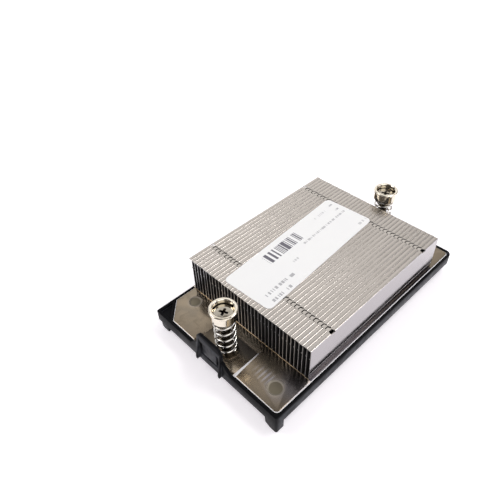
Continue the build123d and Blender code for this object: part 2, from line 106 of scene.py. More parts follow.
# Screws, cups and springs; SPRING_FLAT is the share of the wire's radius left by the ground ends
CUP_BORE = 4.45
CUP_RIM = 5.8
CUP_WALL = 5.4
SLEEVE_OUTER = 3.35
SHANK = 2.25
SHANK_BORE = 2.3
SCREW_HEAD = 4.1
THREAD_CORE = 1.62
THREAD_TOP = 1.9
THREAD_PITCH = 0.7
THREAD_RIDGE = 0.42
THREAD_TURNS = 6.2
GROOVE = 1.7
GROOVE_LOW = 2.55
GROOVE_HIGH = 3.25
CROSS_TURN = 26.0
CROSS_HALF_SPAN = 1.9
CROSS_HALF_ARM = 0.5
CROSS_DEPTH = 1.35
SPRING_RADIUS = 4.2
SPRING_WIRE = 0.5
SPRING_FLAT = 0.7
SPRING_BASE = 6.25
SPRING_ACTIVE_TURNS = 4.5
SPRING_CLOSED_TURNS = 0.75
SPRING_CLOSED_PITCH = 1.1

# Label
LABEL_CENTRE = (-5.4, -1.9)
LABEL_WIDTH = 25.8
LABEL_LENGTH = 75.4
LABEL_CORNER = 2.4
LABEL_TILT = 3.6
LABEL_THICKNESS = 0.12
LABEL_IMPRINT = 0.03
SEAM_WIDTH = 0.22

# Print on the label in millimetres from its centre: centre, half size, stroke width,
# share of strokes left out and darkness of the ink
LABEL_PRINT = (
    ((-6.8, -5.3), (3.05, 11.6), 0.42, 0.5, 0.86),
    ((6.9, -26.2), (0.8, 6.6), 0.42, 0.42, 0.5),
    ((7.3, -16.3), (0.8, 1.2), 0.42, 0.3, 0.5),
    ((10.8, -29.8), (0.8, 3.2), 0.46, 0.4, 0.5),
    ((10.9, -22.4), (0.8, 2.2), 0.46, 0.4, 0.5),
    ((2.6, -7.8), (0.6, 2.2), 0.5, 0.4, 0.32),
    ((-1.25, 19.9), (0.6, 17.1), 0.44, 0.45, 0.4),
    ((-8.2, 24.3), (0.6, 4.5), 0.5, 0.45, 0.28),
    ((-8.9, 34.3), (0.5, 1.2), 0.5, 0.4, 0.4),
    ((-4.7, 34.6), (0.5, 1.9), 0.5, 0.4, 0.5),
    ((10.0, 34.0), (0.7, 3.0), 0.5, 0.4, 0.3),
)

# Patches of the room: direction, angles from it where each starts to fade and ends, and colour.
# A pale ceiling behind with two dark screens in front of it, a white wall to the left,
# a bright window to the right and a bright wall beside the camera.
ROOM_PATCHES = (
    ((-0.57, 0.56, 0.60), 13.0, 36.0, (1.10, 1.085, 1.07)),
    ((-0.46, 0.34, 0.82), 2.0, 5.0, (0.34, 0.31, 0.28)),
    ((-0.32, 0.405, 0.857), 1.5, 4.0, (0.42, 0.45, 0.62)),
    ((-0.93, 0.30, 0.15), 12.0, 24.0, (1.0, 1.0, 1.0)),
    ((0.76, 0.50, 0.42), 10.0, 22.0, (1.15, 1.12, 1.2)),
    ((0.64, -0.26, 0.72), 14.0, 30.0, (1.7, 1.68, 1.66)),
)

# Room over the horizon: height of each step and its colour
ROOM_STEPS = (
    (0.04, (1.0, 0.99, 1.0)),
    (0.22, (0.30, 0.29, 0.29)),
    (0.5, (0.16, 0.15, 0.145)),
    (0.95, (0.14, 0.13, 0.125)),
)

# Soft lamps: name, place, width and height, level and colour
LAMPS = (
    ("key", (0.16, 0.37, 0.78), (0.40, 0.30), 6.3, (1.0, 0.99, 0.98)),
    ("right", (0.62, 0.54, 0.27), (0.36, 0.20), 2.6, (0.96, 0.96, 1.0)),
    ("left", (-0.40, -0.30, 0.62), (0.32, 0.32), 4.4, (1.0, 0.99, 0.98)),
)


def add(tree, kind, inputs=None, **settings):
    """Add a node, set its properties, and link or set the inputs given by name or number."""
    made = tree.nodes.new(kind)
    for name, value in settings.items():
        setattr(made, name, value)
    for name, value in (inputs or {}).items():
        if isinstance(value, bpy.types.NodeSocket):
            tree.links.new(value, made.inputs[name])
        else:
            made.inputs[name].default_value = value
    return made


def feed(tree, shader, inputs):
    """Link values to a shader's sockets."""
    for name, value in inputs.items():
        tree.links.new(value, shader.inputs[name])


def math_node(tree, operation, first, second=0.0, third=None):
    """Output of a Math node."""
    inputs = {0: first, 1: second}
    if third is not None:
        inputs[2] = third
    return add(tree, "ShaderNodeMath", inputs, operation=operation).outputs[0]


def product(tree, first, *others):
    """Product of two or more values."""
    for value in others:
        first = math_node(tree, "MULTIPLY", first, value)
    return first


def parts_of(tree, vector):
    """X, Y and Z of a vector."""
    return add(tree, "ShaderNodeSeparateXYZ", {0: vector}).outputs


def mix_colours(tree, share, first, second):
    """Colour between two others, each a socket or its red, green and blue."""
    inputs = {0: share}
    for socket, value in ((6, first), (7, second)):
        inputs[socket] = value if isinstance(value, bpy.types.NodeSocket) else (*value, 1.0)
    return add(tree, "ShaderNodeMix", inputs, data_type="RGBA").outputs[2]


def tinted(tree, base, mask, depth, colour):
    """Base colour with another over it where a mask is, at a depth between 0 and 1."""
    return mix_colours(tree, product(tree, mask, depth), base, colour)


def span(tree, value, low, high, new_low=0.0, new_high=1.0):
    """Value moved from one range to another along a smooth curve, held at both ends."""
    inputs = {"Value": value, "From Min": low, "From Max": high, "To Min": new_low, "To Max": new_high}
    made = add(tree, "ShaderNodeMapRange", inputs, interpolation_type="SMOOTHSTEP", clamp=True)
    return made.outputs["Result"]


def inside(tree, value, centre, half):
    """1 where a value is within half a width of a centre."""
    return math_node(tree, "COMPARE", value, centre, half)


def shared_group(name, sockets):
    """Empty shader group; gives the group, its inputs, numbers or vectors by their value, and its mask."""
    group = bpy.data.node_groups.new(name, "ShaderNodeTree")
    for socket, value in sockets.items():
        kind = "NodeSocketFloat" if isinstance(value, float) else "NodeSocketVector"
        made = group.interface.new_socket(name=socket, in_out="INPUT", socket_type=kind)
        made.default_value = value
    group.interface.new_socket(name="Mask", in_out="OUTPUT", socket_type="NodeSocketFloat")
    given = group.nodes.new("NodeGroupInput").outputs
    return group, given, group.nodes.new("NodeGroupOutput").inputs["Mask"]


def make_cloud_group():
    """Soft cloudy marks of one size, such as smudges on plating."""
    sockets = {"Vector": (0.0, 0.0, 0.0), "Scale": 100.0, "Warp": 0.3, "Low": 0.4, "High": 0.7}
    group, given, mask = shared_group("cloud_marks", sockets)
    inputs = {name: given[name] for name in ("Vector", "Scale")}
    inputs.update({"Distortion": given["Warp"], "Detail": 4.0, "Roughness": 0.55})
    noise = add(group, "ShaderNodeTexNoise", inputs).outputs["Fac"]
    group.links.new(span(group, noise, given["Low"], given["High"]), mask)
    return group


def make_grain_group():
    """Fine lines drawn out along one direction, as rolling or turning leaves them."""
    sockets = {"Vector": (0.0, 0.0, 0.0), "Stretch": (1.0, 1.0, 1.0), "Scale": 1000.0, "Spread": 0.25}
    group, given, mask = shared_group("drawn_grain", sockets)
    vectors = {0: given["Vector"], 1: given["Stretch"]}
    drawn = add(group, "ShaderNodeVectorMath", vectors, operation="MULTIPLY").outputs[0]
    inputs = {"Vector": drawn, "Scale": given["Scale"], "Detail": 3.0, "Roughness": 0.6}
    noise = add(group, "ShaderNodeTexNoise", inputs).outputs["Fac"]
    low = math_node(group, "SUBTRACT", 0.5, given["Spread"])
    high = math_node(group, "ADD", 0.5, given["Spread"])
    group.links.new(span(group, noise, low, high), mask)
    return group


def make_edge_group():
    """Mask of outer edges, broken up by noise, where handling has rubbed the surface; on the frame it also
    carries a painted highlight.
    """
    sockets = {"Vector": (0.0, 0.0, 0.0), "Start": 0.52, "Full": 0.6, "Break Scale": 300.0}
    group, given, mask = shared_group("rubbed_edges", sockets)
    sharpness = add(group, "ShaderNodeNewGeometry").outputs["Pointiness"]
    edge = span(group, sharpness, given["Start"], given["Full"])
    inputs = {"Vector": given["Vector"], "Scale": given["Break Scale"], "Detail": 3.0}
    noise = add(group, "ShaderNodeTexNoise", inputs).outputs["Fac"]
    group.links.new(product(group, edge, span(group, noise, 0.35, 0.6, 0.35, 1.0)), mask)
    return group


CLOUDS = make_cloud_group()
GRAIN = make_grain_group()
EDGES = make_edge_group()


def use_group(tree, group, place, **inputs):
    """Place a shared group in a material with its own values and give back its mask."""
    return add(tree, "ShaderNodeGroup", {"Vector": place, **inputs}, node_tree=group).outputs["Mask"]


def new_material(name):
    """Material with one Principled shader; gives the material, its tree, shader and object coordinates."""
    material = bpy.data.materials.new(name)
    material.use_nodes = True
    tree = material.node_tree
    shader = tree.nodes["Principled BSDF"]
    place = add(tree, "ShaderNodeTexCoord").outputs["Object"]
    return material, tree, shader, place


def bump(tree, shader, height, distance, below=None):
    """Relief in micrometres on a shader, over another relief if one is given."""
    inputs = {"Height": height, "Distance": distance * MICRON, "Strength": 1.0}
    if below is not None:
        inputs["Normal"] = below
    made = add(tree, "ShaderNodeBump", inputs)
    feed(tree, shader, {"Normal": made.outputs["Normal"]})
    return made.outputs["Normal"]


def circle_share(tree, across, along, centre, radius, fade):
    """1 inside a circle seen from above and 0 beyond it, with a soft rim; sizes in millimetres."""
    dx = math_node(tree, "SUBTRACT", across, centre[0] * MM)
    dy = math_node(tree, "SUBTRACT", along, centre[1] * MM)
    distance = math_node(tree, "SQRT", math_node(tree, "MULTIPLY_ADD", dx, dx, product(tree, dy, dy)))
    return span(tree, distance, (radius - fade) * MM, (radius + fade) * MM, 1.0, 0.0)


def pocket_masks(tree, across, along, above):
    """Masks of the painted shade in the plate's pockets and of the painted highlight along their side walls.
    """
    into_pocket = math_node(tree, "SUBTRACT", math_node(tree, "ABSOLUTE", along), POCKET_START * MM)
    from_side = math_node(tree, "SUBTRACT", POCKET_HALF_WIDTH * MM, math_node(tree, "ABSOLUTE", across))
    lengthwise = span(tree, into_pocket, -0.2 * MM, 0.6 * MM)
    sideways = span(tree, from_side, -0.2 * MM, 0.2 * MM)
    # Painted shade in place of the dark reflections there: darkest near the fin stack where a pocket starts,
    # fading deeper in.
    fading = span(tree, into_pocket, 3.0 * MM, 9.0 * MM, 0.95, 0.15)
    painted_pocket_shade = product(tree, lengthwise, sideways, above, fading)
    # Band along each pocket's side wall, where a highlight is painted.
    beyond = math_node(tree, "SUBTRACT", across, (POCKET_HALF_WIDTH - 0.2) * MM)
    wall_width = math_node(tree, "MULTIPLY_ADD", into_pocket, POCKET_WALL_RUN * 1.25, 0.3 * MM)
    past_start = math_node(tree, "GREATER_THAN", beyond, 0.0)
    before_end = math_node(tree, "LESS_THAN", beyond, wall_width)
    in_length = math_node(tree, "GREATER_THAN", into_pocket, 0.0)
    return painted_pocket_shade, product(tree, past_start, before_end, in_length, above)


def with_painted_reflections(tree, base, across, along):
    """Plate's colour with a painted bluish reflection by the right mark and painted streaks of the fins'
    reflection beside it.
    """
    shade = circle_share(tree, across, along, SHADE_CENTRE, 7.0, 6.0)
    shaded = tinted(tree, base, shade, 0.7, (0.18, 0.18, 0.215))
    swing = math_node(tree, "COSINE", product(tree, across, 2 * math.pi / (FIN_PITCH * MM)))
    centre = (FIN_REFLECTION_CENTRE[0], FIN_REFLECTION_CENTRE[1] * FIN_REFLECTION_FLATNESS)
    painted_reflections = circle_share(tree, across, product(tree, along, FIN_REFLECTION_FLATNESS), centre, 4.5, 3.0)
    streaks = product(tree, span(tree, swing, -0.3, 0.9), painted_reflections)
    return tinted(tree, shaded, streaks, 0.5, (0.58, 0.57, 0.59))


def pressed_marks(tree, base, across, along, above):
    """Plate's colour with its pressed marks, and what they add to its roughness."""
    added = None
    for centre, radius in PLATE_MARKS:
        masks = []
        for wider, fade in ((0.0, 0.15), (0.75, 0.15), (1.4, 0.9)):
            circle = circle_share(tree, across, along, centre, radius + wider, fade)
            masks.append(product(tree, circle, above))
        disc, slope, halo = masks
        base = tinted(tree, base, halo, 0.3, (0.42, 0.38, 0.34))
        base = tinted(tree, base, slope, 0.6, (0.36, 0.33, 0.28))
        base = tinted(tree, base, disc, 0.9, (0.20, 0.175, 0.125))
        rougher = math_node(tree, "MULTIPLY_ADD", disc, -0.25, product(tree, slope, 0.4))
        added = rougher if added is None else math_node(tree, "MAXIMUM", added, rougher)
    return base, added


def make_plate_nickel():
    """Dull nickel plating on rolled plate, with painted shade in the pockets and a painted white highlight
    on its outer edges and pocket side walls.
    """
    material, tree, shader, place = new_material("plate_nickel")
    cloud = use_group(tree, CLOUDS, place, Scale=75.0, Warp=0.5, Low=0.36, High=0.68)
    smudge = use_group(tree, CLOUDS, place, Scale=210.0, Warp=1.0, Low=0.5, High=0.75)
    grain = use_group(tree, GRAIN, place, Stretch=(1.0, 0.08, 1.0), Scale=2600.0)
    parts = parts_of(tree, place)
    across = parts["X"]
    along = parts["Y"]
    above = math_node(tree, "GREATER_THAN", parts["Z"], (PLATE_TOP - 0.6) * MM)
    painted_pocket_shade, wall = pocket_masks(tree, across, along, above)
    # Painted highlight: the band round the plate's top edge and the pocket side walls are coloured near
    # white and not metallic, in place of the light they catch.
    upward = parts_of(tree, add(tree, "ShaderNodeNewGeometry").outputs["True Normal"])["Z"]
    topmost = math_node(tree, "GREATER_THAN", parts["Z"], (PLATE_TOP - 0.3) * MM)
    edge = product(tree, inside(tree, upward, 0.60, 0.28), topmost)
    wear_and_painted_highlight = math_node(tree, "MAXIMUM", wall, edge)
    toned = mix_colours(tree, cloud, (0.33, 0.27, 0.20), (0.27, 0.23, 0.18))
    smudged = tinted(tree, toned, smudge, 0.4, (0.20, 0.165, 0.12))
    # Painted reflections on the plate.
    painted_reflections = with_painted_reflections(tree, smudged, across, along)
    marked, pressed = pressed_marks(tree, painted_reflections, across, along, above)
    # Painted shade in the pockets.
    pocket_shaded = mix_colours(tree, painted_pocket_shade, marked, (0.035, 0.031, 0.028))
    # Painted shadow: a dark band on the plate beside the foot of the fin stack's outer side.
    off_stack = inside(tree, across, (FIN_RIGHT + 0.5) * MM, 0.5 * MM)
    along_stack = inside(tree, along, (FIN_FRONT + FIN_LENGTH / 2) * MM, FIN_LENGTH / 2 * MM)
    shadowed = tinted(tree, pocket_shaded, product(tree, off_stack, along_stack), 0.9, (0.02, 0.02, 0.03))
    coloured = mix_colours(tree, wear_and_painted_highlight, shadowed, (0.97, 0.96, 0.99))
    base = span(tree, cloud, 0.0, 1.0, 0.17, 0.21)
    with_smudge = math_node(tree, "MULTIPLY_ADD", smudge, 0.05, base)
    with_grain = math_node(tree, "MULTIPLY_ADD", grain, 0.03, with_smudge)
    with_marks = math_node(tree, "ADD", pressed, with_grain)
    rough = math_node(tree, "MULTIPLY_ADD", wear_and_painted_highlight, 0.3, with_marks)
    metal = math_node(tree, "SUBTRACT", 1.0, wear_and_painted_highlight)
    feed(tree, shader, {"Base Color": coloured, "Metallic": metal, "Roughness": rough})
    wave = add(tree, "ShaderNodeTexNoise", {"Vector": place, "Scale": 70.0, "Detail": 1.0}).outputs["Fac"]
    bump(tree, shader, grain, 0.5, bump(tree, shader, wave, 30.0))
    return material


def make_fin_metal():
    """Bare rolled sheet of the fins: grained along their length, with painted black shade in the channels, a
    painted shade band on each flange and a painted lilac reflection on the outer side.
    """
    material, tree, shader, place = new_material("fin_metal")
    share, along_top, deep, cut = (
        add(tree, "ShaderNodeAttribute", attribute_name=name).outputs["Fac"]
        for name in ("fin_share", "flange", "channel", "cut_end")
    )
    grain = use_group(tree, GRAIN, place, Stretch=(1.0, 0.03, 0.4), Scale=5200.0)
    cloud = use_group(tree, CLOUDS, place, Scale=70.0, Warp=0.5, Low=0.36, High=0.68)
    worn = use_group(tree, EDGES, place, Start=0.55, Full=0.66)
    parts = parts_of(tree, place)
    toned = mix_colours(tree, share, (0.495, 0.46, 0.427), (0.54, 0.503, 0.468))
    clouded = tinted(tree, toned, cloud, 0.3, (0.48, 0.445, 0.41))
    wear_and_painted_highlight = tinted(tree, clouded, worn, 0.15, (0.66, 0.64, 0.61))
    # Painted shade: a darker band across each flange a little past its fold.
    painted_flange_shade = tinted(tree, wear_and_painted_highlight, inside(tree, along_top, 0.36, 0.17), 0.14, (0.05, 0.045, 0.03))
    foot = math_node(tree, "LESS_THAN", parts["Z"], (PLATE_TOP + 0.4) * MM)
    burr = mix_colours(tree, foot, (0.44, 0.43, 0.44), (0.92, 0.74, 0.52))
    sheared = mix_colours(tree, cut, painted_flange_shade, burr)
    # Painted shade: the faces lining the channels are near black, matte and not metallic.
    painted_channel_shade = mix_colours(tree, deep, sheared, (0.010, 0.009, 0.009))
    # Painted reflection: the outer side is tinted lilac-grey like the floor it mirrors, and kept out of the
    # channel shade.
    outer = math_node(tree, "GREATER_THAN", parts["X"], (FIN_RIGHT - 0.12) * MM)
    coloured = mix_colours(tree, outer, painted_channel_shade, (0.47, 0.445, 0.455))
    dull = math_node(tree, "MAXIMUM", deep, product(tree, cut, 0.6))
    metal = math_node(tree, "SUBTRACT", 1.0, dull)
    base = span(tree, cloud, 0.0, 1.0, 0.19, 0.24)
    with_grain = math_node(tree, "MULTIPLY_ADD", grain, 0.05, base)
    on_outer = math_node(tree, "MULTIPLY_ADD", outer, -0.10, with_grain)
    rough = math_node(tree, "MULTIPLY_ADD", deep, 0.55, on_outer)
    feed(tree, shader, {"Base Color": coloured, "Metallic": metal, "Roughness": rough})
    bump(tree, shader, grain, 0.15)
    return material


def make_frame_plastic():
    """Black moulded plastic with a fine spark-eroded texture, and edges lightened partly by handling wear
    and partly as a painted highlight.
    """
    material, tree, shader, place = new_material("frame_plastic")
    pores = add(tree, "ShaderNodeTexNoise", {"Vector": place, "Scale": 4200.0, "Detail": 2.0}).outputs["Fac"]
    flow = use_group(tree, CLOUDS, place, Scale=45.0, Warp=1.0, Low=0.35, High=0.7)
    worn = use_group(tree, EDGES, place, Start=0.52, Full=0.6)
    toned = mix_colours(tree, flow, (0.0040, 0.0042, 0.0052), (0.0065, 0.0067, 0.0080))
    # Partly wear, partly painted highlight: the edges are tinted bluish grey for the light lines along the
    # rim edges.
    coloured = tinted(tree, toned, worn, 0.6, (0.080, 0.084, 0.098))
    rough = math_node(tree, "MULTIPLY_ADD", worn, -0.08, span(tree, flow, 0.0, 1.0, 0.34, 0.46))
    feed(tree, shader, {"Base Color": coloured, "Roughness": rough})
    shader.inputs["Specular IOR Level"].default_value = 0.045
    bump(tree, shader, pores, 8.0)
    return material


def make_turned_nickel(name, light, dark, smoothest, roughest, shadowed=None):
    """Bright nickel over turned or drawn steel, with faint rings, dull spots and, where a mask is given, a
    painted shade.
    """
    material, tree, shader, place = new_material(name)
    rings = use_group(tree, GRAIN, place, Stretch=(0.25, 0.25, 1.0), Scale=3600.0)
    spots = use_group(tree, CLOUDS, place, Scale=420.0, Warp=0.8, Low=0.52, High=0.74)
    worn = use_group(tree, EDGES, place, Start=0.54, Full=0.66)
    coloured = tinted(tree, mix_colours(tree, spots, light, dark), worn, 0.5, (0.72, 0.69, 0.64))
    # Painted shade where the given mask is.
    if shadowed is not None:
        coloured = mix_colours(tree, shadowed(tree, place), coloured, (0.035, 0.028, 0.022))
    base = span(tree, spots, 0.0, 1.0, smoothest, roughest)
    rough = math_node(tree, "MULTIPLY_ADD", rings, 0.04, base)
    feed(tree, shader, {"Base Color": coloured, "Roughness": rough})
    shader.inputs["Metallic"].default_value = 1.0
    bump(tree, shader, rings, 1.5)
    return material


def painted_screw_shade(tree, place):
    """Mask of painted shade in the cross recess, over the head and on the shank below the cup."""
    parts = parts_of(tree, place)
    across = parts["X"]
    along = math_node(tree, "SUBTRACT", math_node(tree, "ABSOLUTE", parts["Y"]), SCREW_Y["rear"] * MM)
    squared = math_node(tree, "MULTIPLY_ADD", across, across, product(tree, along, along))
    from_axis = math_node(tree, "SQRT", squared)
    near_axis, on_head, narrow = (
        math_node(tree, "LESS_THAN", from_axis, radius * MM)
        for radius in (CROSS_HALF_SPAN + 0.4, SCREW_HEAD, SHANK + 0.2)
    )
    sunk = math_node(tree, "LESS_THAN", parts["Z"], (SCREW_TOP - 0.12) * MM)
    recess = product(tree, near_axis, sunk, 0.95)
    shank = product(tree, narrow, span(tree, parts["Z"], 24.5 * MM, 26.0 * MM, 1.0, 0.0), 0.85)
    recess_and_shank_shade = math_node(tree, "MAXIMUM", recess, shank)
    return math_node(tree, "MAXIMUM", recess_and_shank_shade, product(tree, on_head, 0.52))


def printed_block(tree, across, along, centre, half, stroke, left_out, depth):
    """Mask of one block of strokes on the label, some of them left out at random."""
    step = math_node(tree, "FLOOR", math_node(tree, "DIVIDE", along, stroke * MM))
    seed = math_node(tree, "ADD", step, centre[0] * 7.3)
    chance = add(tree, "ShaderNodeTexWhiteNoise", {"W": seed}, noise_dimensions="1D").outputs["Value"]
    drawn = math_node(tree, "GREATER_THAN", chance, left_out)
    in_width = inside(tree, across, centre[0] * MM, half[0] * MM)
    in_length = inside(tree, along, centre[1] * MM, half[1] * MM)
    return product(tree, in_width, in_length, drawn, depth)


def make_label_film():
    """White label stock with a bar block and plain printed strokes that say nothing."""
    material, tree, shader, place = new_material("label_film")
    turn = math.radians(-LABEL_TILT)
    centre = Vector((LABEL_CENTRE[0] * MM, LABEL_CENTRE[1] * MM, 0.0))
    inputs = {
        "Vector": place,
        "Location": tuple(Matrix.Rotation(turn, 3, "Z") @ -centre),
        "Rotation": (0.0, 0.0, turn),
    }
    parts = parts_of(tree, add(tree, "ShaderNodeMapping", inputs).outputs["Vector"])
    ink = None
    for row in LABEL_PRINT:
        block = printed_block(tree, parts["X"], parts["Y"], *row)
        ink = block if ink is None else math_node(tree, "MAXIMUM", ink, block)
    fibres = use_group(tree, GRAIN, place, Stretch=(1.0, 0.7, 1.0), Scale=3000.0)
    cloud = use_group(tree, CLOUDS, place, Scale=60.0, Low=0.3, High=0.7)
    paper = mix_colours(tree, cloud, (0.96, 0.965, 0.97), (0.945, 0.95, 0.96))
    printed = mix_colours(tree, ink, paper, (0.02, 0.015, 0.05))
    feed(tree, shader, {"Base Color": printed, "Roughness": span(tree, fibres, 0.0, 1.0, 0.42, 0.52)})
    bump(tree, shader, fibres, 3.0)
    return material


PLATE_NICKEL = make_plate_nickel()
FIN_METAL = make_fin_metal()
FRAME_PLASTIC = make_frame_plastic()
SCREW_NICKEL = make_turned_nickel(
    "screw_nickel", (0.84, 0.78, 0.67), (0.72, 0.65, 0.52), 0.07, 0.14, painted_screw_shade
)
SPRING_STEEL = make_turned_nickel("spring_steel", (0.78, 0.76, 0.73), (0.60, 0.53, 0.42), 0.06, 0.12)
LABEL_FILM = make_label_film()


def new_object(name, mesh):
    """Object of a mesh, at the origin, in the scene."""
    made = bpy.data.objects.new(name, mesh)
    bpy.context.scene.collection.objects.link(made)
    return made


def mesh_from(name, shape):
    """Mesh of a bmesh, which is freed."""
    mesh = bpy.data.meshes.new(name)
    shape.to_mesh(mesh)
    shape.free()
    return mesh


def soften(mesh, angle):
    """Smooth shading with edges kept sharp above an angle in degrees."""
    mesh.shade_smooth()
    mesh.set_sharp_from_angle(angle=math.radians(angle))


def settled(maker, name, material, angle=35.0):
    """Plain object of what an object with modifiers makes; the maker is removed."""
    graph = bpy.context.evaluated_depsgraph_get()
    graph.update()
    shown = maker.evaluated_get(graph)
    mesh = bpy.data.meshes.new_from_object(shown, preserve_all_data_layers=True, depsgraph=graph)
    drop(maker)
    mesh.name = name
    mesh.materials.clear()
    mesh.materials.append(material)
    soften(mesh, angle)
    return new_object(name, mesh)


def drop(maker):
    """Remove an object and its mesh."""
    mesh = maker.data
    bpy.data.objects.remove(maker)
    bpy.data.meshes.remove(mesh)


def deliver(piece, body, slot, *nodes):
    """Tie a finished piece to its body and hide the nodes it stands for; the slot is not used."""
    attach(piece, body)
    if nodes:
        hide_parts(*nodes)


def rounded_copy(node, name, material, width, steps, angle=25.0):
    """Merged copy of a node's mesh with its edges rounded."""
    shape = bmesh.new()
    shape.from_mesh(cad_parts[node].data)
    bmesh.ops.remove_doubles(shape, verts=shape.verts, dist=0.002 * MM)
    bmesh.ops.dissolve_limit(shape, angle_limit=math.radians(0.6), verts=shape.verts, edges=shape.edges)
    maker = new_object(name + "_maker", mesh_from(name, shape))
    rounding = maker.modifiers.new("rounding", "BEVEL")
    rounding.width = width * MM
    rounding.segments = steps
    rounding.limit_method = "ANGLE"
    rounding.angle_limit = math.radians(angle)
    rounding.use_clamp_overlap = False
    return settled(maker, name, material)


def rounded_profile(corners, steps=5):
    """Closed list of points through corners (radius, height, corner radius), arcs filled in."""
    points = []
    for number, (across, up, radius) in enumerate(corners):
        corner = Vector((across, up))
        if radius <= 0:
            points.append(corner)
            continue
        before = (Vector(corners[number - 1][:2]) - corner).normalized()
        after = (Vector(corners[(number + 1) % len(corners)][:2]) - corner).normalized()
        half = before.angle(after) / 2
        cut = radius / math.tan(half)
        centre = corner + (before + after).normalized() * (radius / math.sin(half))
        start = corner + before * cut - centre
        end = corner + after * cut - centre
        for step in range(steps + 1):
            turned = start.lerp(end, step / steps)
            points.append(centre + turned.normalized() * radius)
    return points


def turned_shape(points, centre_y, steps):
    """Closed ring of faces made by turning a profile about an upright axis."""
    shape = bmesh.new()
    rings = []
    for step in range(steps):
        angle = 2 * math.pi * step / steps
        ring = []
        for point in points:
            ring.append(shape.verts.new((
                point[0] * math.cos(angle) * MM,
                (centre_y + point[0] * math.sin(angle)) * MM,
                point[1] * MM,
            )))
        rings.append(ring)
    for step in range(steps):
        here = rings[step]
        there = rings[(step + 1) % steps]
        for number in range(len(points)):
            after = (number + 1) % len(points)
            shape.faces.new((here[number], there[number], there[after], here[after]))
    bmesh.ops.remove_doubles(shape, verts=shape.verts, dist=0.0005 * MM)
    bmesh.ops.dissolve_degenerate(shape, edges=shape.edges, dist=0.0002 * MM)
    bmesh.ops.recalc_face_normals(shape, faces=shape.faces)
    return shape


def geometry_tree(name, **inputs):
    """Geometry tree with inputs, their names listed by kind, and one geometry output."""
    tree = bpy.data.node_groups.new(name, "GeometryNodeTree")
    tree.interface.new_socket(name="Geometry", in_out="INPUT", socket_type="NodeSocketGeometry")
    for kind, names in inputs.items():
        for socket in names:
            tree.interface.new_socket(name=socket, in_out="INPUT", socket_type="NodeSocket" + kind)
    tree.interface.new_socket(name="Geometry", in_out="OUTPUT", socket_type="NodeSocketGeometry")
    return tree, tree.nodes.new("NodeGroupInput").outputs, tree.nodes.new("NodeGroupOutput")


def vector_of(tree, x=0.0, y=0.0, z=0.0):
    """Vector of three values."""
    return add(tree, "ShaderNodeCombineXYZ", {"X": x, "Y": y, "Z": z}).outputs[0]


def moved(tree, geometry, **how):
    """Geometry with its points moved by an Offset or to a Position."""
    return add(tree, "GeometryNodeSetPosition", {"Geometry": geometry, **how}).outputs[0]


def stored(tree, geometry, name, value, domain):
    """Geometry with a number kept on its points or faces."""
    inputs = {"Geometry": geometry, "Name": name, "Value": value}
    made = add(tree, "GeometryNodeStoreNamedAttribute", inputs, data_type="FLOAT", domain=domain)
    return made.outputs[0]


def read_back(tree, name):
    """Number kept on a geometry under a name."""
    return add(tree, "GeometryNodeInputNamedAttribute", {"Name": name}, data_type="FLOAT").outputs[0]


def dressed(tree, geometry, finish, result):
    """Give a geometry its material and hand it out of the tree."""
    made = add(tree, "GeometryNodeSetMaterial", {"Geometry": geometry, "Material": finish})
    tree.links.new(made.outputs[0], result.inputs[0])


def grown(tree, name, values, material, angle=35.0):
    """Plain object of what a geometry tree makes with these input values."""
    maker = new_object(name + "_maker", bpy.data.meshes.new(name + "_maker"))
    modifier = maker.modifiers.new("tree", "NODES")
    modifier.node_group = tree
    sockets = {item.name: item.identifier for item in tree.interface.items_tree if item.in_out == "INPUT"}
    for socket, value in {**values, "Finish": material}.items():
        modifier[sockets[socket]] = value
    return settled(maker, name, material, angle)


def channel_share(tree, given):
    """Masks of the faces that line the channels between fins, and of the cut ends."""
    spot = parts_of(tree, add(tree, "GeometryNodeInputPosition").outputs[0])
    turned = parts_of(tree, add(tree, "GeometryNodeInputNormal").outputs[0])
    low = math_node(tree, "LESS_THAN", spot["Z"], given["Channel Top"])
    under = math_node(tree, "LESS_THAN", turned["Z"], -0.4)
    below_top = math_node(tree, "MAXIMUM", low, under)
    right_of_open = math_node(tree, "GREATER_THAN", spot["X"], given["Open Side"])
    left_of_outer = math_node(tree, "LESS_THAN", spot["X"], given["Outer Side"])
    not_outer = product(tree, left_of_outer, right_of_open)
    not_cut = math_node(tree, "LESS_THAN", math_node(tree, "ABSOLUTE", turned["Y"]), 0.5)
    return product(tree, below_top, not_outer, not_cut), math_node(tree, "SUBTRACT", 1.0, not_cut)


def random_share(tree, seed, lowest):
    """Random number between the lowest and 1, one for each fin."""
    inputs = {"Seed": seed, 2: lowest}
    return add(tree, "FunctionNodeRandomValue", inputs, data_type="FLOAT").outputs[1]


